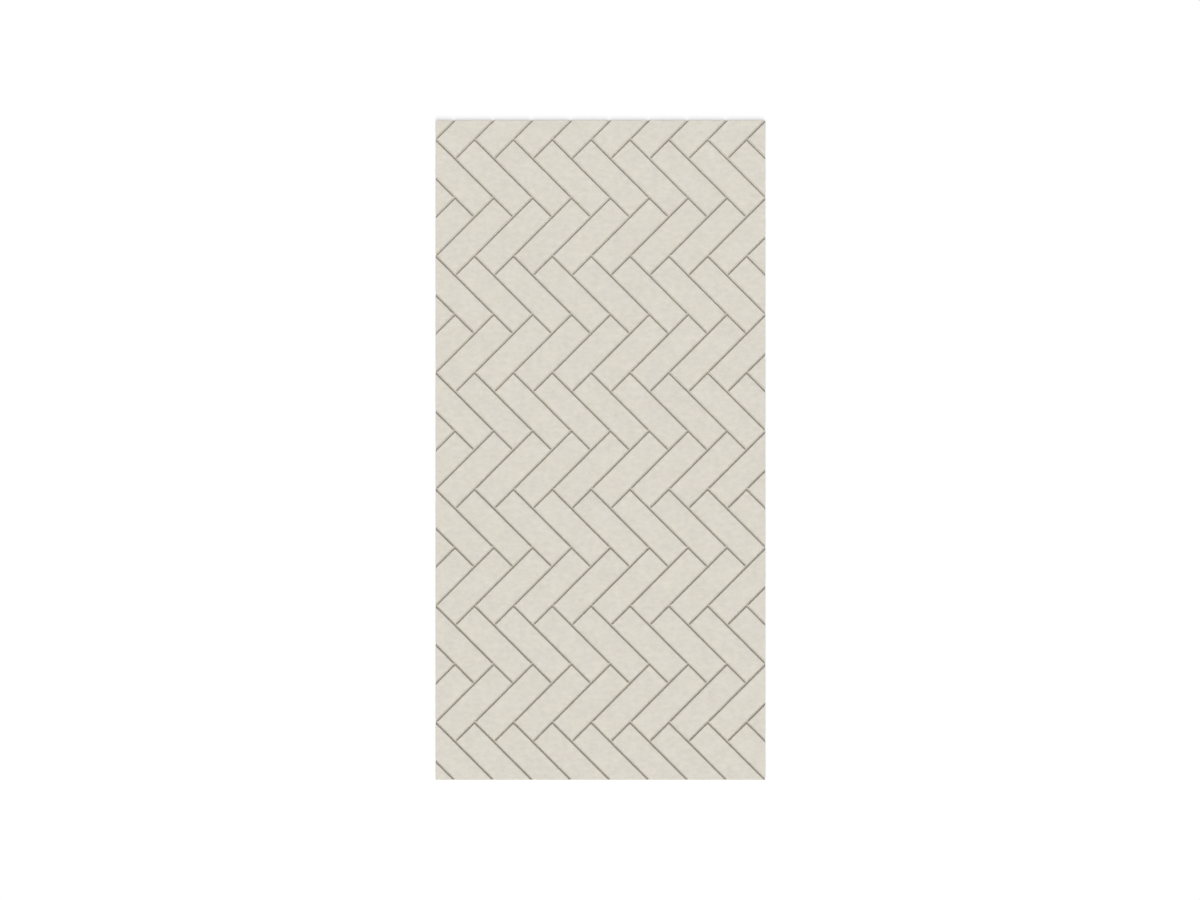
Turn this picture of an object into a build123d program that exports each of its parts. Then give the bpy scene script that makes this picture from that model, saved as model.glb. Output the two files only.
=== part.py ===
"""Felt acoustic panel, lying on its back, with a herringbone of V grooves cut into its face.

One sheet of pressed polyester felt. The grooves divide its face into blocks laid as a
herringbone, at 45 degrees to the panel's edges. Every groove is one block's length and
one block's width long, and both of its ends run into the side of a groove that slants
the other way.
The frame's origin is at the middle of the back, on which the panel lies. +X runs across
the panel to the right, +Y along it to its top edge, and +Z out of the grooved face.
"""

from build123d import *
import math
import os

# The sheet, in millimetres.
panel_width = 1200.0
panel_length = 2400.0
panel_thickness = 12.0

# The herringbone's blocks, between the middles of the grooves around them.
block_width = 100.0
block_length = 300.0

# The V groove: its width across the face and its depth straight down from it.
groove_width = 12.0
groove_depth = 6.0

# How far the cutter's V carries on above the face, so that no cut ends in the face itself.
cutter_rise = 2.0

# Grooves of one direction are a block's width apart, which is more along the panel's edge.
# They come in rows, and the two directions' rows take turns up the panel.
groove_pitch = block_width * math.sqrt(2)
row_height = block_length / math.sqrt(2)
row_pitch = 2 * row_height
groove_length = block_length + block_width
groove_reach = groove_length / math.sqrt(2)

left_edge = -panel_width / 2
right_edge = panel_width / 2
bottom_edge = -panel_length / 2
top_edge = panel_length / 2

# Both directions run downwards along the panel, one to the right and one to the left.
right_slant = Vector(1, -1, 0).normalized()
left_slant = Vector(-1, -1, 0).normalized()


def is_on_panel(start: Vector, end: Vector) -> bool:
    """True if a groove whose middle runs from start down to end cuts any of the face."""
    overhang = groove_width / math.sqrt(2)
    if max(start.X, end.X) + overhang <= left_edge or min(start.X, end.X) - overhang >= right_edge:
        return False
    if start.Y + overhang <= bottom_edge or end.Y - overhang >= top_edge:
        return False
    across = (end - start).cross(Vector(0, 0, 1)).normalized()
    corners = [
        Vector(x, y, panel_thickness)
        for x in (left_edge, right_edge)
        for y in (bottom_edge, top_edge)
    ]
    offsets = [(corner - start).dot(across) for corner in corners]
    return min(offsets) < groove_width / 2 and max(offsets) > -groove_width / 2


def groove_planes(first_x: float, first_y: float, slant: Vector) -> list[Plane]:
    """A plane across the upper end of every groove that slants one way and is on the panel."""
    first_column = math.floor((left_edge - groove_reach - first_x) / groove_pitch)
    last_column = math.ceil((right_edge + groove_reach - first_x) / groove_pitch)
    first_row = math.floor((bottom_edge - first_y) / row_pitch)
    last_row = math.ceil((top_edge + groove_reach - first_y) / row_pitch)
    planes = []
    for row in range(first_row, last_row + 1):
        for column in range(first_column, last_column + 1):
            start = Vector(
                first_x + column * groove_pitch, first_y + row * row_pitch, panel_thickness
            )
            if is_on_panel(start, start + slant * groove_length):
                planes.append(Plane(start, x_dir=Vector(0, 0, 1).cross(slant), z_dir=slant))
    return planes


# The pattern is set out from the bottom left corner. A groove that slants right starts on
# the left edge, one row's height up, and one that slants left starts on the bottom edge, as
# far to the right.
right_slant_planes = groove_planes(left_edge, bottom_edge + row_height, right_slant)
left_slant_planes = groove_planes(left_edge + row_height, bottom_edge, left_slant)

with BuildPart() as felt_panel:
    # the sheet
    with BuildSketch():
        Rectangle(panel_width, panel_length)
    extrude(amount=panel_thickness)

    # the V grooves
    with BuildSketch(*right_slant_planes, *left_slant_planes):
        with BuildLine():
            cutter_half_width = groove_width / 2 * (1 + cutter_rise / groove_depth)
            Polyline(
                (0, -groove_depth),
                (cutter_half_width, cutter_rise),
                (-cutter_half_width, cutter_rise),
                close=True,
            )
        make_face()
    extrude(amount=groove_length, mode=Mode.SUBTRACT)

felt_panel.part.label = "felt_panel"

os.makedirs("parts", exist_ok=True)
export_step(felt_panel.part, "parts/felt_panel.step")

print("grooves", len(right_slant_planes) + len(left_slant_planes))
print("volume in litres", round(felt_panel.part.volume / 1e6, 3))
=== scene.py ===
"""A grooved felt acoustic panel on a white studio floor, seen from straight above.

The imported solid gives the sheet's size and place. The felt that shows is one denser surface
that is worked out here, with softened groove lips, slightly wavy cuts and rounded rims, and
it stands for the solid. Lengths are in metres.
"""

import logging
import math
from dataclasses import dataclass, field
from enum import Enum
from typing import Any

import bpy
import numpy as np
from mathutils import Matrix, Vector
from mathutils.geometry import delaunay_2d_cdt


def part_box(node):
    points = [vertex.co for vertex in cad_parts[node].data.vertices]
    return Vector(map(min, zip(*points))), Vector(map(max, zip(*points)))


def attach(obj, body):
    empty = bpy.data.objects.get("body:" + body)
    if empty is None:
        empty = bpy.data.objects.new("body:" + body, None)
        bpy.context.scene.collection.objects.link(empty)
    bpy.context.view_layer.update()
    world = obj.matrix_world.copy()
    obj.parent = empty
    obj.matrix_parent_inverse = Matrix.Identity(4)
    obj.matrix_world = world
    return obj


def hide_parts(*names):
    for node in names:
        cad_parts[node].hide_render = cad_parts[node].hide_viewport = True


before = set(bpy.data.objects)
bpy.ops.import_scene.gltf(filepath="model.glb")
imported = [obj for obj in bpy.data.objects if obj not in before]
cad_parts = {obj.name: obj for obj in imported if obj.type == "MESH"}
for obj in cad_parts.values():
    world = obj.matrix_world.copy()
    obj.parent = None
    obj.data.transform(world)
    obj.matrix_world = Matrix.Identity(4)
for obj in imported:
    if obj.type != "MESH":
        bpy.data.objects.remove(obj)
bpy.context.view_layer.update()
# The grooves run at 45 degrees, and this is the cosine of that.
DIAGONAL = math.sqrt(0.5)
# Two places that are nearer than this are the same but for rounding.
SAME_PLACE = 1e-6
log = logging.getLogger("acoustic_panel")


class Slant(Enum):
    """The two ways in which the grooves run down the sheet."""

    RIGHT = "falls to the right"
    LEFT = "falls to the left"


class Surface(Enum):
    """The felt's three surfaces, each with a finish of its own, in material order."""

    FACE = 0
    CUT_EDGE = 1
    BACK = 2


@dataclass(frozen=True)
class GrooveRun:
    """The middle of one groove in turned coordinates.

    A groove that falls to the right keeps the first coordinate and runs along the second. One
    that falls to the left keeps the second and runs along the first.

    Attributes:
        slant: Which way the groove falls.
        line: The coordinate that it keeps.
        start: Where it starts in the other coordinate.
        end: Where it ends in the other coordinate.
    """

    slant: Slant
    line: float
    start: float
    end: float


@dataclass(frozen=True)
class GrooveSection:
    """The cross-section of a V groove: a sharp V with its bottom and its lips rounded off.

    Attributes:
        width: The V's width at the face.
        depth: The sharp V's depth.
        lip_rounding: How far the rounding reaches to each side of a lip.
        root_rounding: How far the rounding of the bottom reaches to each side.
    """

    width: float = 0.012
    depth: float = 0.006
    lip_rounding: float = 0.0009
    root_rounding: float = 0.0005

    def depth_at(self, distance: np.ndarray) -> np.ndarray:
        """Gives the groove's depth below the face.

        Within r of the middle the distance d becomes (d * d + r * r) / (2 * r), which rounds
        the bottom. How far that is inside the lip, x, then becomes (x + m)**2 / (4 * m) within
        m of the lip, which rounds the lip. The rest is a straight wall.

        Args:
            distance: How far each point is from the groove's middle.

        Returns:
            The depth at each point, 0 outside the groove.
        """
        root, lip, half = self.root_rounding, self.lip_rounding, self.width / 2
        rounded = np.where(distance < root, (distance**2 + root**2) / (2 * root), distance)
        inside = half - rounded
        ramp = np.where(inside < lip, np.clip(inside + lip, 0, None) ** 2 / (4 * lip), inside)
        return ramp * self.depth / half

    def offsets(self) -> np.ndarray:
        """Gives the distances from the middle, on both sides, where the shape bends."""
        half = self.width / 2
        bends = [self.root_rounding, half - self.lip_rounding, half, half + self.lip_rounding]
        return np.array([-bend for bend in reversed(bends)] + [0.0] + bends)


@dataclass(frozen=True)
class Herringbone:
    """The layout of the grooves, set out from the sheet's bottom left corner.

    Turned coordinates start at that corner. The first grows towards the upper right and the
    second towards the lower right, both at 45 degrees, so every groove keeps one of them.

    Attributes:
        block_width: Between the middles of the grooves on a block's long sides.
        block_length: Between the middles of the grooves at its ends.
    """

    block_width: float = 0.100
    block_length: float = 0.300

    def runs(self, reach: float) -> list[GrooveRun]:
        """Lists the grooves within reach of the corner.

        With whole numbers i and k, a block's width W and its length L, a groove that falls to
        the right lies at L / 2 + i W + k L and starts at i W - L / 2 - k L. One that falls to
        the left lies at L / 2 + i W - k L and ends at L / 2 + i W + k L. All are L + W long.

        Args:
            reach: The largest turned coordinate, in either direction, that matters.

        Returns:
            The grooves' middles.
        """
        width, length = self.block_width, self.block_length
        groove_length = length + width
        columns = math.ceil(2 * reach / width)
        rows = math.ceil(reach / length)
        found = []
        for k in range(-rows, rows + 1):
            for i in range(-columns, columns + 1):
                start = i * width - length / 2 - k * length
                end = i * width + length / 2 + k * length
                found.append(GrooveRun(Slant.RIGHT, end, start, start + groove_length))
                line = i * width + length / 2 - k * length
                found.append(GrooveRun(Slant.LEFT, line, end - groove_length, end))
        return [
            run
            for run in found
            if abs(run.line) <= reach and run.end >= -reach and run.start <= reach
        ]


@dataclass(frozen=True)
class Waviness:
    """A smooth unevenness: the sum of plane waves whose directions and phases are drawn once.

    Attributes:
        amplitude: The unevenness's root mean square.
        wavelength: The waves' middle length.
        seed: What the drawing of the waves starts from.
        waves: How many waves are added up.
        spread: The most that a wave's length is multiplied or divided by.
    """

    amplitude: float
    wavelength: float
    seed: int
    waves: int = 14
    spread: float = 1.7

    def at(self, x: np.ndarray, y: np.ndarray) -> np.ndarray:
        """Gives the unevenness at each point.

        It is the amplitude times the sum of sin(kx * x + ky * y + phase) over the waves, divided
        by the root of half their number, so that the amplitude is its root mean square.

        Args:
            x: First coordinates.
            y: Second coordinates.

        Returns:
            The unevenness, with the coordinates' shape.
        """
        draw = np.random.default_rng(self.seed)
        heading = draw.uniform(0, 2 * math.pi, self.waves)
        phase = draw.uniform(0, 2 * math.pi, self.waves)
        lengths = self.wavelength * self.spread ** draw.uniform(-1, 1, self.waves)
        turns_x = 2 * math.pi / lengths * np.cos(heading)
        turns_y = 2 * math.pi / lengths * np.sin(heading)
        total = np.sin(x[..., None] * turns_x + y[..., None] * turns_y + phase).sum(axis=-1)
        return self.amplitude * total / math.sqrt(self.waves / 2)


@dataclass
class Patch:
    """A stretch of surface.

    Attributes:
        points: Each point's x, y and z.
        triangles: The numbers of each triangle's points, anticlockwise seen from outside.
        cut: How far each point is cut felt, from 0 on the pressed skin to 1.
    """

    points: np.ndarray
    triangles: np.ndarray
    cut: np.ndarray

    def clip(self, direction: tuple[float, float], limit: float, snap: float) -> "Patch":
        """Cuts off what lies beyond a straight line across the sheet.

        A point's side is its x and y along the direction, less the limit. Points that are
        almost on the line move onto it first. A triangle that the line crosses leaves one or
        two triangles, and the new points lie where its edges reach a side of 0.

        Args:
            direction: The line's unit normal, towards what is cut off.
            limit: How far from the origin the line is.
            snap: How near to the line a point moves onto it.

        Returns:
            What is left.
        """
        normal = np.array([*direction, 0.0])
        side = self.points @ normal - limit
        near = np.abs(side) < snap
        points = self.points - np.where(near, side, 0.0)[:, None] * normal
        side = np.where(near, 0.0, side)
        kept = side <= 0
        count = kept[self.triangles].sum(axis=1)
        whole = self.triangles[count == 3]

        crossed = self.triangles[(count == 1) | (count == 2)]
        lone_is_kept = kept[crossed].sum(axis=1) == 1
        lone = np.argmax(kept[crossed] == lone_is_kept[:, None], axis=1)
        turn = (lone[:, None] + np.arange(3)) % 3
        first, second, third = np.take_along_axis(crossed, turn, axis=1).T
        ends = np.sort(np.stack([np.r_[first, first], np.r_[second, third]], axis=1), axis=1)
        edges, made = np.unique(ends, axis=0, return_inverse=True)
        low, high = edges.T
        number = np.arange(len(edges)) + len(points)
        number = np.where(side[low] == 0, low, number)
        number = np.where(side[high] == 0, high, number)
        on_second, on_third = number[made.reshape(-1)].reshape(2, -1)
        share = side[low] / (side[low] - side[high])
        new_points = points[low] + (points[high] - points[low]) * share[:, None]
        new_cut = self.cut[low] + (self.cut[high] - self.cut[low]) * share

        triangles = np.concatenate(
            [
                whole,
                np.stack([first, on_second, on_third], axis=1)[lone_is_kept],
                np.stack([on_second, second, third], axis=1)[~lone_is_kept],
                np.stack([on_second, third, on_third], axis=1)[~lone_is_kept],
            ]
        )
        points = np.concatenate([points, new_points])
        return Patch(points, triangles, np.concatenate([self.cut, new_cut])).tidied()

    def tidied(self) -> "Patch":
        """Drops triangles that have shrunk to a line, and points that no triangle uses."""
        a, b, c = (self.points[self.triangles[:, i]] for i in range(3))
        size = np.linalg.norm(np.cross(b - a, c - a), axis=1)
        triangles = self.triangles[size > SAME_PLACE**2]
        used, renumbered = np.unique(triangles, return_inverse=True)
        return Patch(self.points[used], renumbered.reshape(-1, 3), self.cut[used])

    def open_edges(self) -> np.ndarray:
        """Gives the edges that only one triangle has, in that triangle's direction."""
        edges = np.concatenate([self.triangles[:, [i, (i + 1) % 3]] for i in range(3)])
        count = len(self.points)
        forward = edges[:, 0] * count + edges[:, 1]
        backward = edges[:, 1] * count + edges[:, 0]
        return edges[~np.isin(forward, backward)]

    def normals(self) -> np.ndarray:
        """Gives each point's normal, the mean of its triangles' normals weighted by area."""
        a, b, c = (self.points[self.triangles[:, i]] for i in range(3))
        facing = np.cross(b - a, c - a)
        total = np.zeros_like(self.points)
        for corner in range(3):
            np.add.at(total, self.triangles[:, corner], facing)
        return total / np.linalg.norm(total, axis=1, keepdims=True)


def grid_triangles(heights: np.ndarray) -> np.ndarray:
    """Divides a turned grid's cells into triangles that point upwards.

    Point (i, j) has the number i * columns + j. Seen from above, i grows towards the upper right
    and j towards the lower right, so a cell's corners are its west, north, east and south. Each
    cell is divided along the diagonal whose middle is higher, so that the ridge where two groove
    walls meet runs along an edge.

    Args:
        heights: The grid's heights, first coordinate by second coordinate.

    Returns:
        The triangles' point numbers.
    """
    rows, columns = heights.shape
    number = np.arange(rows * columns).reshape(rows, columns)
    west, north = number[:-1, :-1].ravel(), number[1:, :-1].ravel()
    south, east = number[:-1, 1:].ravel(), number[1:, 1:].ravel()
    level = (heights[:-1, :-1] + heights[1:, 1:]).ravel()
    upright = (heights[1:, :-1] + heights[:-1, 1:]).ravel()
    is_level = level >= upright
    upper = np.stack([west, np.where(is_level, east, south), north], axis=1)
    lower = np.where(
        is_level[:, None],
        np.stack([west, south, east], axis=1),
        np.stack([south, east, north], axis=1),
    )
    return np.concatenate([upper, lower])


@dataclass(frozen=True)
class Finish:
    """What one surface of the felt looks like.

    Attributes:
        name: The material's name.
        colour: The felt's mean colour.
        streaks: How much the streaks lighten and darken it.
        clouds: How much the wider clouds lighten and darken it.
        tint: How much its hue wanders.
        fibre_contrast: How much darker or lighter a single fibre is.
        layers: How much the pressed layers show where the felt is cut.
        bump: How strongly the fibres stand out.
        cut_tone_and_groove_shade: How much darker and warmer the cut felt is drawn, in red, green
            and blue: partly its own tone, partly painted groove shade with a painted warm bounce.
    """

    name: str
    colour: tuple[float, float, float]
    streaks: float
    clouds: float
    tint: float
    fibre_contrast: float
    layers: float
    bump: float
    cut_tone_and_groove_shade: tuple[float, float, float] = (0.0, 0.0, 0.0)


@dataclass
class NodeDesk:
    """Adds nodes to one node tree and joins them up.

    Attributes:
        tree: The node tree.
    """

    tree: bpy.types.NodeTree

    def add(self, kind: str, inputs: dict[Any, Any], **settings: Any) -> bpy.types.Node:
        """Adds one node.

        Args:
            kind: The node's type, without the words ShaderNode.
            inputs: For each input, by name or number, a value or the socket that feeds it.
            settings: Properties of the node itself.

        Returns:
            The node.
        """
        node = self.tree.nodes.new("ShaderNode" + kind)
        for name, value in settings.items():
            setattr(node, name, value)
        for name, value in inputs.items():
            if isinstance(value, bpy.types.NodeSocket):
                self.tree.links.new(value, node.inputs[name])
            else:
                node.inputs[name].default_value = value
        return node

    def maths(self, operation: str, *values: Any, clamp: bool = False) -> bpy.types.NodeSocket:
        """Adds a maths node and gives its result."""
        inputs = dict(enumerate(values))
        return self.add("Math", inputs, operation=operation, use_clamp=clamp).outputs[0]

    def vectors(self, operation: str, *values: Any) -> bpy.types.NodeSocket:
        """Adds a vector maths node and gives its result."""
        return self.add("VectorMath", dict(enumerate(values)), operation=operation).outputs[0]

    def noise(self, vector: bpy.types.NodeSocket, scale: Any, detail: float) -> bpy.types.Node:
        """Adds a noise texture."""
        return self.add("TexNoise", {"Vector": vector, "Scale": scale, "Detail": detail})

    def group(self, group: bpy.types.NodeTree, inputs: dict[Any, Any]) -> bpy.types.Node:
        """Adds a node group."""
        return self.add("Group", inputs, node_tree=group)

    def join(self, output: bpy.types.NodeSocket, wanted: bpy.types.NodeSocket) -> None:
        """Joins an output to the input that it feeds."""
        self.tree.links.new(output, wanted)


def new_group(
    name: str, inputs: dict[str, tuple[str, Any]], outputs: dict[str, str]
) -> tuple[bpy.types.NodeTree, NodeDesk, bpy.types.Node, bpy.types.Node]:
    """Starts a shader node group.

    Args:
        name: The group's name.
        inputs: For each input, its socket's kind and its default value, or None for none.
        outputs: For each output, its socket's kind.

    Returns:
        The group, a desk on it, its input node and its output node.
    """
    group = bpy.data.node_groups.new(name, "ShaderNodeTree")
    for label, (kind, value) in inputs.items():
        socket = group.interface.new_socket(label, in_out="INPUT", socket_type="NodeSocket" + kind)
        if value is not None:
            socket.default_value = value
    for label, kind in outputs.items():
        group.interface.new_socket(label, in_out="OUTPUT", socket_type="NodeSocket" + kind)
    desk = NodeDesk(group)
    return group, desk, group.nodes.new("NodeGroupInput"), group.nodes.new("NodeGroupOutput")


@dataclass
class FeltLook:
    """The felt's shader node groups, and the materials that are made with them.

    Attributes:
        roughness: The felt's mean roughness.
        roughness_range: How much smoother the fibres' tops are than the gaps between them.
        cut_roughness: How much rougher cut felt is.
        sheen: The weight of the soft sheen that loose fibres give.
        sheen_roughness: That sheen's roughness.
        specular: The felt's weak gloss.
        bump_height: The height of the fibres.
        layer_relief: How much the pressed layers count in the height, beside their tone.
        fibre_headings: Each set of fibres' heading in degrees. The first half are dark.
        set_offset: How far apart in the noise two sets of fibres are taken.
        bends_per_fibre: How many soft bends there are along a fibre's length.
        breaks_per_fibre: How many breaks there are along it.
        break_gain: What the breaks' noise is multiplied by, so that fibres end sharply.
        break_start: What is then added. A fibre shows where the sum is above 0.
        nap_share: The fine nap's share of the height.
        streak_slimness: How many times as long as wide a streak is.
        tint_shares: How much of the wandering hue falls on red, green and blue.
        tint_offset: How far from the clouds' place in the noise the hue is taken.
        layer_grain: How many times a metre the layers change along themselves.
        groups: The node groups, once they are built.
    """

    roughness: float = 0.93
    roughness_range: float = 0.08
    cut_roughness: float = 0.03
    sheen: float = 0.12
    sheen_roughness: float = 0.6
    specular: float = 0.2
    bump_height: float = 0.0004
    layer_relief: float = 5.0
    fibre_headings: tuple[float, ...] = (5.0, 64.0, 127.0, 41.0, 98.0, 162.0)
    set_offset: tuple[float, float, float] = (7.3, 3.1, 5.7)
    bends_per_fibre: float = 0.6
    breaks_per_fibre: float = 2.2
    break_gain: float = 5.0
    break_start: float = -1.8
    nap_share: float = 0.55
    streak_slimness: float = 1.5
    tint_shares: tuple[float, float, float] = (0.30, 0.48, 1.0)
    tint_offset: tuple[float, float, float] = (3.7, 1.9, 0.0)
    layer_grain: float = 45.0
    groups: dict[str, bpy.types.NodeTree] = field(default_factory=dict)

    def build_groups(self) -> None:
        """Builds the three node groups."""
        self.groups["fibres"] = self.fibre_group()
        self.groups["mottle"] = self.mottle_group()
        self.groups["layers"] = self.layer_group()

    def fibre_group(self) -> bpy.types.NodeTree:
        """Makes matted fibres: thin curly lines that lie every way, and a fine nap between them.

        The coordinates are first bent by a soft noise, so that the fibres curl. Each set of
        fibres is then a noise that is stretched along its own heading. A fibre runs where the
        noise passes 0.5, as bright as 1 less the difference times the thinness, and a coarser
        noise breaks it into lengths. Each dark set shares its lengths' noise with a light set, so
        that the two even out from afar.

        Returns:
            The group, which puts out the fibres' height, and where dark and light ones lie.
        """
        group, desk, start, end = new_group(
            "felt_fibres",
            {
                "Vector": ("Vector", None),
                "Fibre Length": ("Float", 0.014),
                "Slimness": ("Float", 15.0),
                "Thinness": ("Float", 9.0),
                "Curl": ("Float", 0.006),
                "Nap Size": ("Float", 0.0008),
            },
            {"Height": "Float", "Dark Fibres": "Float", "Light Fibres": "Float"},
        )
        vector = start.outputs["Vector"]
        length = start.outputs["Fibre Length"]
        bend = desk.noise(vector, desk.maths("DIVIDE", self.bends_per_fibre, length), 1.0)
        centred = desk.vectors("SUBTRACT", bend.outputs["Color"], (0.5, 0.5, 0.5))
        offset = desk.add(
            "VectorMath", {0: centred, "Scale": start.outputs["Curl"]}, operation="SCALE"
        )
        bent = desk.vectors("ADD", vector, offset.outputs[0])
        breaks = desk.noise(bent, desk.maths("DIVIDE", self.breaks_per_fibre, length), 0.0)
        channels = desk.add("SeparateColor", {"Color": breaks.outputs["Color"]}).outputs

        along = desk.maths("DIVIDE", 1.0, length)
        across = desk.maths("MULTIPLY", along, start.outputs["Slimness"])
        stretch = desk.add("CombineXYZ", {"X": along, "Y": across, "Z": across}).outputs[0]
        sets = []
        for number, heading in enumerate(self.fibre_headings):
            turned = desk.add(
                "VectorRotate",
                {"Vector": bent, "Angle": math.radians(heading)},
                rotation_type="Z_AXIS",
            )
            apart = tuple(number * step for step in self.set_offset)
            placed = desk.vectors("MULTIPLY_ADD", turned.outputs[0], stretch, apart)
            noise = desk.noise(placed, 1.0, 0.0).outputs[0]
            away = desk.maths("ABSOLUTE", desk.maths("SUBTRACT", noise, 0.5))
            faded = desk.maths("MULTIPLY", away, start.outputs["Thinness"])
            line = desk.maths("SUBTRACT", 1.0, faded, clamp=True)
            channel = channels[number % 3]
            mask = desk.maths(
                "MULTIPLY_ADD", channel, self.break_gain, self.break_start, clamp=True
            )
            sets.append(desk.maths("MULTIPLY", line, mask))
        dark = desk.maths("MAXIMUM", desk.maths("MAXIMUM", sets[0], sets[1]), sets[2])
        light = desk.maths("MAXIMUM", desk.maths("MAXIMUM", sets[3], sets[4]), sets[5])
        either = desk.maths("MAXIMUM", dark, light)

        fine = desk.maths("DIVIDE", 1.0, start.outputs["Nap Size"])
        nap = desk.maths("MULTIPLY", desk.noise(vector, fine, 1.0).outputs[0], self.nap_share)
        lying = desk.maths("MULTIPLY", either, 1.0 - self.nap_share)
        desk.join(desk.maths("ADD", lying, nap), end.inputs["Height"])
        desk.join(dark, end.inputs["Dark Fibres"])
        desk.join(light, end.inputs["Light Fibres"])
        return group

    def mottle_group(self) -> bpy.types.NodeTree:
        """Makes the uneven tone of needled felt: short streaks across the sheet, and clouds.

        Returns:
            The group, which puts out a tone around 1 and, around 0, a tint: how much more red,
            green and blue there is.
        """
        group, desk, start, end = new_group(
            "felt_mottle",
            {
                "Vector": ("Vector", None),
                "Streaks": ("Float", 0.2),
                "Clouds": ("Float", 0.05),
                "Streak Length": ("Float", 0.023),
                "Cloud Size": ("Float", 0.075),
                "Tint Size": ("Float", 0.042),
            },
            {"Tone": "Float", "Tint": "Vector"},
        )
        vector = start.outputs["Vector"]
        along = desk.maths("DIVIDE", 1.0, start.outputs["Streak Length"])
        across = desk.maths("MULTIPLY", along, self.streak_slimness)
        stretch = desk.add("CombineXYZ", {"X": along, "Y": across, "Z": across}).outputs[0]
        stretched = desk.vectors("MULTIPLY", vector, stretch)
        streak = desk.add(
            "TexNoise", {"Vector": stretched, "Scale": 1.0, "Detail": 3.0, "Roughness": 0.55}
        )
        size = desk.maths("DIVIDE", 1.0, start.outputs["Cloud Size"])
        cloud = desk.noise(vector, size, 2.0)
        tone = desk.maths(
            "ADD",
            self.swing(desk, streak.outputs[0], start.outputs["Streaks"]),
            self.swing(desk, cloud.outputs[0], start.outputs["Clouds"]),
        )
        desk.join(desk.maths("ADD", tone, 1.0), end.inputs["Tone"])

        apart = desk.vectors("ADD", vector, self.tint_offset)
        patch = desk.maths("DIVIDE", 1.0, start.outputs["Tint Size"])
        tint = desk.noise(apart, patch, 2.0)
        halves = tuple(-share / 2 for share in self.tint_shares)
        tinted = desk.vectors("MULTIPLY_ADD", tint.outputs["Color"], self.tint_shares, halves)
        desk.join(tinted, end.inputs["Tint"])
        return group

    @staticmethod
    def swing(
        desk: NodeDesk, noise: bpy.types.NodeSocket, amount: bpy.types.NodeSocket | float
    ) -> bpy.types.NodeSocket:
        """Brings a noise about 0.5 to one about 0, and multiplies it by the amount."""
        return desk.maths("MULTIPLY", desk.maths("SUBTRACT", noise, 0.5), amount)

    def layer_group(self) -> bpy.types.NodeTree:
        """Makes the pressed layers that show where the sheet is cut, as thin level bands.

        Returns:
            The group, which puts out the layers' height.
        """
        group, desk, start, end = new_group(
            "felt_layers",
            {"Vector": ("Vector", None), "Layer Thickness": ("Float", 0.0012)},
            {"Height": "Float"},
        )
        upright = desk.maths("DIVIDE", 1.0, start.outputs["Layer Thickness"])
        grain = self.layer_grain
        stretch = desk.add("CombineXYZ", {"X": grain, "Y": grain, "Z": upright}).outputs[0]
        stretched = desk.vectors("MULTIPLY", start.outputs["Vector"], stretch)
        desk.join(desk.noise(stretched, 1.0, 2.0).outputs[0], end.inputs["Height"])
        return group

    def material(self, finish: Finish) -> bpy.types.Material:
        """Makes one surface's material.

        Args:
            finish: The surface's colour and how strong each effect is on it.

        Returns:
            The material.
        """
        material = bpy.data.materials.new(finish.name)
        material.use_nodes = True
        desk = NodeDesk(material.node_tree)
        shader = material.node_tree.nodes["Principled BSDF"]
        place = desk.add("TexCoord", {}).outputs["Object"]
        mottle = desk.group(
            self.groups["mottle"],
            {"Vector": place, "Streaks": finish.streaks, "Clouds": finish.clouds},
        )
        fibres = desk.group(self.groups["fibres"], {"Vector": place})
        layers = desk.group(self.groups["layers"], {"Vector": place})
        cut = desk.add("Attribute", {}, attribute_name="cut").outputs["Fac"]

        dark = desk.maths("MULTIPLY", fibres.outputs["Dark Fibres"], -finish.fibre_contrast)
        light = desk.maths("MULTIPLY", fibres.outputs["Light Fibres"], finish.fibre_contrast)
        matted = desk.maths("ADD", mottle.outputs["Tone"], desk.maths("ADD", dark, light))
        bands = self.swing(desk, layers.outputs["Height"], finish.layers)
        banded = desk.maths("MULTIPLY", bands, cut)
        tone = desk.maths("ADD", matted, banded)
        tones = desk.add("CombineXYZ", {"X": tone, "Y": tone, "Z": tone}).outputs[0]
        amount = (finish.tint, finish.tint, finish.tint)
        factor = desk.vectors("MULTIPLY_ADD", mottle.outputs["Tint"], amount, tones)
        # Painted shade: the grooves' cut walls are drawn darker and a little warmer, partly the
        # cut felt's own tone and partly painted groove shade and a painted warm bounce.
        darker = tuple(-part * share for part, share in zip(finish.colour, finish.cut_tone_and_groove_shade))
        plain = desk.vectors("MULTIPLY_ADD", cut, darker, finish.colour)
        desk.join(desk.vectors("MULTIPLY", factor, plain), shader.inputs["Base Color"])

        smoother = self.swing(desk, fibres.outputs["Height"], self.roughness_range)
        rougher = desk.maths("MULTIPLY", cut, self.cut_roughness)
        rough = desk.maths("ADD", rougher, self.roughness)
        desk.join(desk.maths("SUBTRACT", rough, smoother), shader.inputs["Roughness"])

        risen = desk.maths("MULTIPLY", banded, self.layer_relief)
        relief = desk.maths("ADD", fibres.outputs["Height"], risen)
        bump = desk.add(
            "Bump", {"Strength": finish.bump, "Distance": self.bump_height, "Height": relief}
        )
        desk.join(bump.outputs[0], shader.inputs["Normal"])
        shader.inputs["Specular IOR Level"].default_value = self.specular
        shader.inputs["Sheen Weight"].default_value = self.sheen
        shader.inputs["Sheen Roughness"].default_value = self.sheen_roughness
        return material


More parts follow.
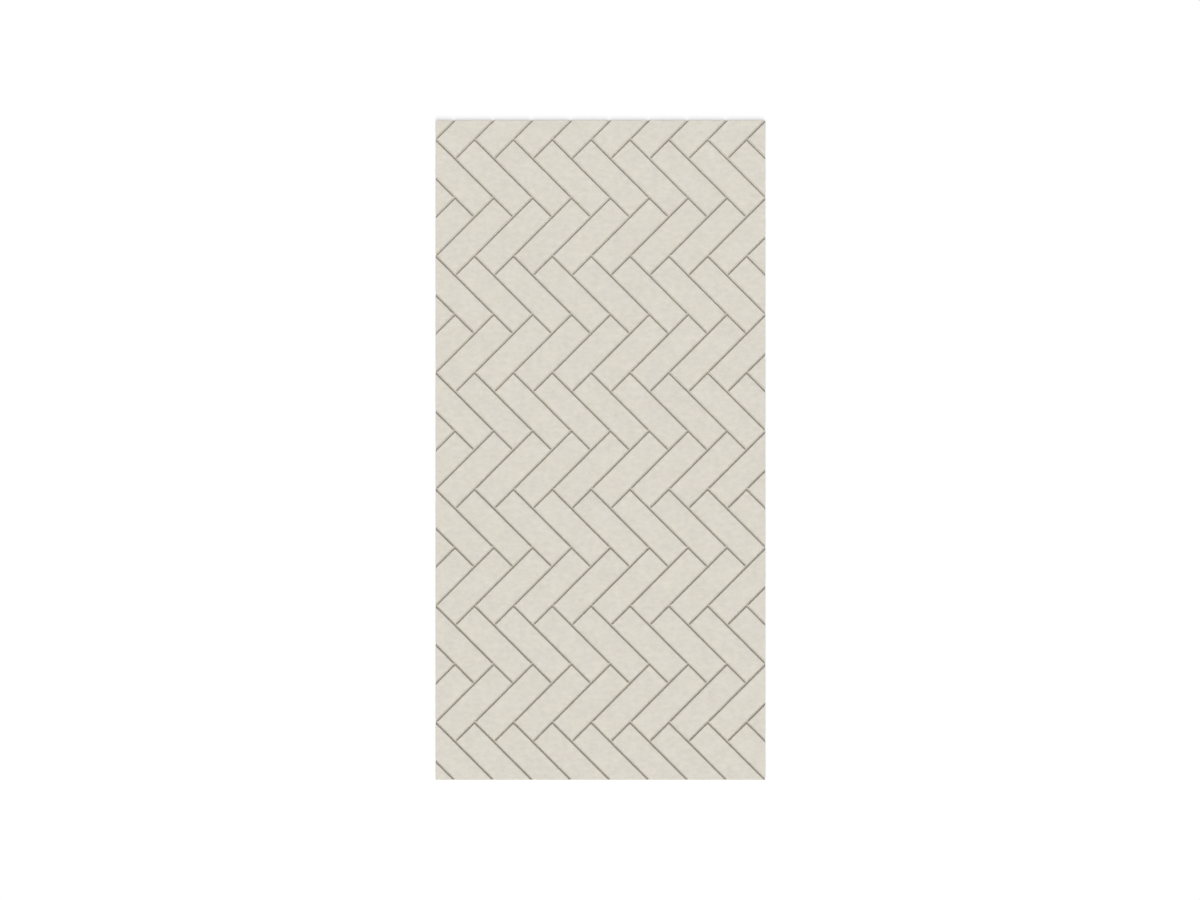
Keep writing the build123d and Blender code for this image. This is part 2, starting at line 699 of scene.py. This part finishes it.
FINISHES = {
    Surface.FACE: Finish(
        name="felt_face",
        colour=(0.697, 0.660, 0.583),
        streaks=0.235,
        clouds=0.08,
        tint=0.08,
        fibre_contrast=0.11,
        layers=0.12,
        bump=0.36,
        # Cut felt in the grooves: its own darker tone plus painted groove shade and a painted warm
        # bounce.
        cut_tone_and_groove_shade=(0.270, 0.279, 0.290),
    ),
    Surface.CUT_EDGE: Finish(
        name="felt_cut_edge",
        colour=(0.600, 0.568, 0.500),
        streaks=0.06,
        clouds=0.08,
        tint=0.06,
        fibre_contrast=0.12,
        layers=0.36,
        bump=0.42,
    ),
    Surface.BACK: Finish(
        name="felt_back",
        colour=(0.686, 0.650, 0.575),
        streaks=0.32,
        clouds=0.09,
        tint=0.08,
        fibre_contrast=0.10,
        layers=0.0,
        bump=0.6,
    ),
}


@dataclass
class FeltSheet:
    """The panel's one piece: a sheet of pressed felt, with the grooves cut into its face.

    Attributes:
        node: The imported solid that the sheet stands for.
        herringbone: The grooves' layout.
        section: The grooves' cross-section.
        unevenness: How the face rises and falls.
        wander_across: How the cuts wander across the sheet.
        wander_along: How they wander along it.
        margin: How far past the sheet the face is worked out before it is cut to size.
        widest_gap: The most between two of the face's grid lines.
        back_spacing: Between the points of the back.
        rim_rounding: The radius of the rims.
        corner_flat: What a corner's flat takes off each side of the face.
        edge_rows: How many rows the sides have between the rims.
        snap: How near to a side the face's points move onto it.
    """

    node: str = "felt_panel"
    herringbone: Herringbone = Herringbone()
    section: GrooveSection = GrooveSection()
    unevenness: Waviness = Waviness(0.00007, 0.11, seed=3)
    wander_across: Waviness = Waviness(0.00012, 0.09, seed=5)
    wander_along: Waviness = Waviness(0.00012, 0.09, seed=8)
    margin: float = 0.01
    widest_gap: float = 0.017
    back_spacing: float = 0.06
    rim_rounding: float = 0.0008
    corner_flat: float = 0.0010
    edge_rows: int = 4
    snap: float = 0.00005

    def __post_init__(self) -> None:
        """Reads the sheet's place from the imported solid."""
        self.low, self.high = (np.array(corner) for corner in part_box(self.node))

    def filled(self, lines: np.ndarray) -> np.ndarray:
        """Adds evenly spaced lines wherever two lines are further apart than the widest gap."""
        steps = np.ceil(np.diff(lines) / self.widest_gap).astype(int)
        parts = [
            np.linspace(low, high, count, endpoint=False)
            for low, high, count in zip(lines[:-1], lines[1:], steps)
        ]
        return np.concatenate([*parts, lines[-1:]])

    def grid_lines(self, stops: set[float], low: float, high: float) -> np.ndarray:
        """Lists the grid's lines in one direction.

        Args:
            stops: Where the grooves that keep this coordinate lie, and the others end.
            low: The first coordinate that the sheet reaches.
            high: The last.

        Returns:
            The lines: a groove's bends about every stop, and even steps between those.
        """
        bends = (np.array(sorted(stops))[:, None] + self.section.offsets()).ravel()
        lines = np.unique(np.round(np.r_[low, bends, high], 7))
        return self.filled(lines[(lines >= low) & (lines <= high)])

    def depths(self, runs: list[GrooveRun], first: np.ndarray, second: np.ndarray) -> np.ndarray:
        """Works out the depth over the turned grid, where the deepest groove counts.

        Args:
            runs: The grooves' middles.
            first: The grid's lines in the first coordinate.
            second: The grid's lines in the second coordinate.

        Returns:
            The depth below the face at each point of the grid.
        """
        depth = np.zeros((len(first), len(second)))
        reach = self.section.width / 2 + self.section.lip_rounding
        for run in runs:
            falls_right = run.slant is Slant.RIGHT
            across, along = (first, second) if falls_right else (second, first)
            view = depth if falls_right else depth.T
            near = slice(*np.searchsorted(across, [run.line - reach, run.line + reach]))
            ends = [run.start - SAME_PLACE, run.end + SAME_PLACE]
            span = slice(*np.searchsorted(along, ends))
            section = self.section.depth_at(np.abs(across[near] - run.line))[:, None]
            view[near, span] = np.maximum(view[near, span], section)
        return depth

    def face(self) -> Patch:
        """Works out the grooved face.

        The face is a height over a grid that is turned by 45 degrees, so that grid lines follow
        the grooves' lips and bottoms. The height is the face's own, with its unevenness, less the
        grooves' depth. The points then wander a little sideways, and what lies beyond the
        sheet's edges is cut off.

        Returns:
            The face, up to where the rounding of the rim starts.
        """
        width, length = (self.high - self.low)[:2]
        reach = (width + length) * DIAGONAL + self.margin
        lowest = -length * DIAGONAL - self.margin
        highest = width * DIAGONAL + self.margin
        runs = self.herringbone.runs(reach)
        stops: tuple[set[float], set[float]] = (set(), set())
        for run in runs:
            kept = 0 if run.slant is Slant.RIGHT else 1
            stops[kept].add(round(run.line, 6))
            stops[1 - kept].update((round(run.start, 6), round(run.end, 6)))
        first = self.grid_lines(stops[0], -self.margin, reach)
        second = self.grid_lines(stops[1], lowest, highest)
        depth = self.depths(runs, first, second)
        x = self.low[0] + (first[:, None] + second[None, :]) * DIAGONAL
        y = self.low[1] + (first[:, None] - second[None, :]) * DIAGONAL
        z = self.high[2] + self.unevenness.at(x, y) - depth
        moved_x = x + self.wander_across.at(x, y)
        moved_y = y + self.wander_along.at(x, y)
        points = np.stack([moved_x, moved_y, z], axis=-1).reshape(-1, 3)
        # The cut share also sets how much painted groove shade the face's material puts on each
        # point.
        cut = np.clip(depth / self.section.lip_rounding, 0, 1).ravel()
        patch = Patch(points, grid_triangles(-depth), cut)
        for direction, limit in self.outline():
            is_side = 0.0 in direction
            patch = patch.clip(direction, limit, self.snap if is_side else 0.0)
        return patch

    def outline(self) -> list[tuple[tuple[float, float], float]]:
        """Lists the lines that cut out the face: four sides, and a small flat at each corner."""
        right, top = self.high[:2] - self.rim_rounding
        left, bottom = self.low[:2] + self.rim_rounding
        sides = [
            ((1.0, 0.0), right),
            ((0.0, 1.0), top),
            ((-1.0, 0.0), -left),
            ((0.0, -1.0), -bottom),
        ]
        corners = [
            ((a * DIAGONAL, b * DIAGONAL), (a * x + b * y - self.corner_flat) * DIAGONAL)
            for a, x in ((1, right), (-1, left))
            for b, y in ((1, top), (-1, bottom))
        ]
        return sides + corners

    def outward(self, points: np.ndarray) -> np.ndarray:
        """Gives how points of the face's outline move as the outline grows.

        A point on a side moves straight out, by 1. One on a corner's flat moves by a half in x
        and in y, which keeps it in line with the flat's ends.

        Args:
            points: The outline's points.

        Returns:
            Each point's move in x and in y.
        """
        place = points[:, :2]
        on_high = np.abs(place - (self.high[:2] - self.rim_rounding)) < SAME_PLACE
        on_low = np.abs(place - (self.low[:2] + self.rim_rounding)) < SAME_PLACE
        move = on_high.astype(float) - on_low
        on_flat = ~move.any(axis=1)
        middle = (self.low + self.high)[:2] / 2
        move[on_flat] = np.sign(place[on_flat] - middle) / 2
        return move

    def rings(self) -> list[tuple[float, float, float]]:
        """Lists the rings of the sheet's sides, from the rim down to the back.

        A ring's height is its share of the way from the face down to the back, plus its lift. On
        the rim's quarter circle of radius r, an angle a gives r sin a outwards and a lift of
        r cos a - r. The back's is the same upside down, and between them the rows are straight.

        Returns:
            For each ring, how far it lies outside the face's outline, its share and its lift.
        """
        radius = self.rim_rounding
        angles = np.radians([30.0, 60.0, 90.0])
        curve = [(radius * math.sin(angle), radius * (1 - math.cos(angle))) for angle in angles]
        rim = [(out, 0.0, -drop) for out, drop in curve]
        rows = np.linspace(0, 1, self.edge_rows + 1)[1:]
        wall = [(radius, share, radius * (2 * share - 1)) for share in rows]
        foot = [(out, 1.0, drop) for out, drop in curve[-2::-1]]
        return [*rim, *wall, *foot, (0.0, 1.0, 0.0)]

    def back(self, ring: np.ndarray, edges: np.ndarray) -> tuple[np.ndarray, np.ndarray]:
        """Fills the last ring with the sheet's plain back.

        Even rows of points lie inside the ring, and a Delaunay triangulation joins them all.
        Slivers beyond the ring, where its points aren't quite in line, go along its edges the
        wrong way round, and are dropped.

        Args:
            ring: The ring's points.
            edges: Its edges, as pairs of its points' numbers.

        Returns:
            The points inside the ring, and the triangles, which face down. Their numbers count
            the ring's points first and the others after them.
        """
        rows = [
            np.arange(low + self.back_spacing, high - self.back_spacing / 2, self.back_spacing)
            for low, high in zip(self.low[:2], self.high[:2])
        ]
        inner = np.stack(np.meshgrid(*rows), axis=-1).reshape(-1, 2)
        flat = np.concatenate([ring[:, :2], inner])
        count = len(flat)
        only_inside, nearness = 1, 1e-9
        placed, _, faces, origin, _, _ = delaunay_2d_cdt(
            flat.tolist(), edges.tolist(), [], only_inside, nearness, True
        )
        if len(placed) != count:
            raise ValueError(f"the back has {len(placed)} points, not {count}")
        downwards = np.ravel(origin)[np.array(faces)][:, ::-1]
        ring_edges = edges[:, 0] * count + edges[:, 1]
        own_edges = downwards * count + np.roll(downwards, -1, axis=1)
        is_sliver = np.isin(own_edges, ring_edges).any(axis=1)
        inner = np.column_stack([inner, np.full(len(inner), self.low[2])])
        return inner, downwards[~is_sliver]

    def closed(self, face: Patch) -> tuple[Patch, np.ndarray]:
        """Adds the sheet's sides and its back to the face.

        The sides are the face's outline carried down in rings, with two triangles between each
        ring's edges and the next's. The last ring lies on the back, which fills it.

        Args:
            face: The face, with an open outline.

        Returns:
            The closed sheet, and each triangle's surface number.
        """
        rim, numbers = np.unique(face.open_edges(), return_inverse=True)
        edges = numbers.reshape(-1, 2)
        start, end = edges.T
        base = face.points[rim]
        move = self.outward(base)
        rings = self.rings()
        points, triangles = [face.points], [face.triangles]
        above = rim
        count = len(face.points)
        for outset, share, lift in rings:
            height = base[:, 2] * (1 - share) + self.low[2] * share + lift
            points.append(np.column_stack([base[:, :2] + move * outset, height]))
            below = count + np.arange(len(rim))
            triangles.append(np.stack([above[end], above[start], below[start]], axis=1))
            triangles.append(np.stack([above[end], below[start], below[end]], axis=1))
            above = below
            count += len(rim)
        inner, back = self.back(points[-1], edges)
        points.append(inner)
        triangles.append(np.r_[above, count + np.arange(len(inner))][back])
        cut = [face.cut, np.ones(len(rim) * len(rings)), np.zeros(len(inner))]
        sizes = [len(face.triangles), 2 * len(edges) * len(rings), len(back)]
        surface = np.repeat([part.value for part in Surface], sizes)
        sheet = Patch(np.concatenate(points), np.concatenate(triangles), np.concatenate(cut))
        return sheet, surface

    def build(self, look: FeltLook) -> bpy.types.Object:
        """Makes the sheet's object, dresses it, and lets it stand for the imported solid.

        Args:
            look: What makes the materials.

        Returns:
            The object.
        """
        sheet, surface = self.closed(self.face())
        mesh = bpy.data.meshes.new("felt_sheet")
        mesh.vertices.add(len(sheet.points))
        mesh.vertices.foreach_set("co", sheet.points.ravel())
        mesh.loops.add(sheet.triangles.size)
        mesh.loops.foreach_set("vertex_index", sheet.triangles.ravel())
        mesh.polygons.add(len(sheet.triangles))
        mesh.polygons.foreach_set("loop_start", np.arange(0, sheet.triangles.size, 3))
        mesh.polygons.foreach_set("material_index", surface)
        mesh.polygons.foreach_set("use_smooth", np.ones(len(surface), dtype=bool))
        mesh.update(calc_edges=True)
        mesh.attributes.new("cut", "FLOAT", "POINT").data.foreach_set("value", sheet.cut)
        mesh.validate()
        mesh.normals_split_custom_set_from_vertices(sheet.normals())
        for part in Surface:
            mesh.materials.append(look.material(FINISHES[part]))
        piece = bpy.data.objects.new("felt_sheet", mesh)
        bpy.context.scene.collection.objects.link(piece)
        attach(piece, "root")
        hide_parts(self.node)
        log.info("felt_sheet: %d points, %d triangles", len(sheet.points), len(sheet.triangles))
        return piece


@dataclass
class Studio:
    """The white floor, the soft light and the camera above the panel.

    Attributes:
        face_height: The height of the panel's face.
        panel_width: The panel's width.
        floor_size: The length of the floor's sides.
        floor_gap: How far below the panel the floor lies.
        floor_glow: The share of the floor's white that is its own.
        floor_tone: How light the floor is for the light that it throws back.
        ambient: The strength of the even light.
        key_strength: What the broad light gives a level surface.
        key_elevation: How high the broad light stands, in degrees.
        key_bearing: Where it stands, in degrees clockwise from the panel's top.
        key_spread: How wide it looks from the panel, in degrees.
        key_distance: How far off its lamp is drawn.
        lens: The camera's focal length in millimetres.
        sensor: Its sensor's width in millimetres.
        photo_width: The photograph's width in pixels.
        panel_pixels: The panel's width in it.
        centre_shift: How far right of and below its centre the panel's is, in pixels.
    """

    face_height: float
    panel_width: float
    floor_size: float = 60.0
    floor_gap: float = 0.0002
    floor_glow: float = 0.6
    floor_tone: float = 0.8
    ambient: float = 0.18
    key_strength: float = 0.84
    key_elevation: float = 47.5
    key_bearing: float = 180.0
    key_spread: float = 56.0
    key_distance: float = 5.0
    lens: float = 50.0
    sensor: float = 36.0
    photo_width: float = 1200.0
    panel_pixels: float = 329.84
    centre_shift: tuple[float, float] = (0.5, 0.12)

    def build_floor(self) -> None:
        """Lays the floor, which shows white where nothing shades it.

        Part of that white is the floor's own glow, for rays that show it only, so that the
        sheet's shadow stays pale and no more light falls on the felt.
        """
        half = self.floor_size / 2
        around = ((-1, -1), (1, -1), (1, 1), (-1, 1))
        corners = [(a * half, b * half, -self.floor_gap) for a, b in around]
        mesh = bpy.data.meshes.new("studio_floor")
        mesh.from_pydata(corners, [], [(0, 1, 2, 3)])
        material = bpy.data.materials.new("white_floor")
        material.use_nodes = True
        desk = NodeDesk(material.node_tree)
        shader = material.node_tree.nodes["Principled BSDF"]
        seen = self.seen(desk)
        thrown, lit = self.floor_tone, 1.0 - self.floor_glow
        colour = desk.add(
            "Mix",
            {"Factor": seen, "A": (thrown, thrown, thrown, 1.0), "B": (lit, lit, lit, 1.0)},
            data_type="RGBA",
        )
        desk.join(colour.outputs["Result"], shader.inputs["Base Color"])
        glow = desk.maths("MULTIPLY", seen, self.floor_glow)
        desk.join(glow, shader.inputs["Emission Strength"])
        shader.inputs["Emission Color"].default_value = (1.0, 1.0, 1.0, 1.0)
        shader.inputs["Roughness"].default_value = 1.0
        shader.inputs["Specular IOR Level"].default_value = 0.0
        mesh.materials.append(material)
        floor = bpy.data.objects.new("studio_floor", mesh)
        bpy.context.scene.collection.objects.link(floor)

    @staticmethod
    def seen(desk: NodeDesk) -> bpy.types.NodeSocket:
        """Gives 1 for rays that show a surface: to the camera, mirrored or through glass."""
        path = desk.add("LightPath", {})
        mirrored = desk.maths(
            "MAXIMUM", path.outputs["Is Glossy Ray"], path.outputs["Is Transmission Ray"]
        )
        return desk.maths("MAXIMUM", path.outputs["Is Camera Ray"], mirrored)

    def build_light(self) -> None:
        """Sets an even light from all round and one broad soft light from the sheet's foot."""
        world = bpy.data.worlds.new("studio_light")
        bpy.context.scene.world = world
        world.use_nodes = True
        desk = NodeDesk(world.node_tree)
        background = world.node_tree.nodes["Background"]
        background.inputs["Color"].default_value = (1.0, 1.0, 1.0, 1.0)
        strength = desk.add("Mix", {"Factor": self.seen(desk), "A": self.ambient, "B": 1.0})
        desk.join(strength.outputs["Result"], background.inputs["Strength"])

        lamp = bpy.data.lights.new("foot_light", "SUN")
        elevation, bearing = math.radians(self.key_elevation), math.radians(self.key_bearing)
        lamp.energy = self.key_strength * math.pi / math.sin(elevation)
        lamp.angle = math.radians(self.key_spread)
        light = bpy.data.objects.new("foot_light", lamp)
        level = math.cos(elevation)
        source = Vector(
            (math.sin(bearing) * level, math.cos(bearing) * level, math.sin(elevation))
        )
        light.rotation_euler = source.to_track_quat("Z", "Y").to_euler()
        light.location = source * self.key_distance
        bpy.context.scene.collection.objects.link(light)

    def build_camera(self) -> None:
        """Hangs the camera over the sheet, as far up as the photograph's scale puts it."""
        data = bpy.data.cameras.new("photo_camera")
        data.lens = self.lens
        data.sensor_width = self.sensor
        data.sensor_fit = "HORIZONTAL"
        scale = self.panel_pixels / self.panel_width
        distance = self.lens / self.sensor * self.photo_width / scale
        camera = bpy.data.objects.new("photo_camera", data)
        right, below = self.centre_shift
        camera.location = (-right / scale, below / scale, self.face_height + distance)
        bpy.context.scene.collection.objects.link(camera)
        bpy.context.scene.camera = camera

    def build(self) -> None:
        """Makes the whole studio."""
        self.build_floor()
        self.build_light()
        self.build_camera()
        bpy.context.scene.view_settings.view_transform = "Standard"
        log.info("studio: floor, light and camera")


def main() -> None:
    """Builds the panel and the studio."""
    logging.basicConfig(level=logging.INFO, format="%(name)s: %(message)s")
    look = FeltLook()
    look.build_groups()
    sheet = FeltSheet()
    sheet.build(look)
    width = float(sheet.high[0] - sheet.low[0])
    Studio(face_height=float(sheet.high[2]), panel_width=width).build()


if __name__ == "__main__":
    main()
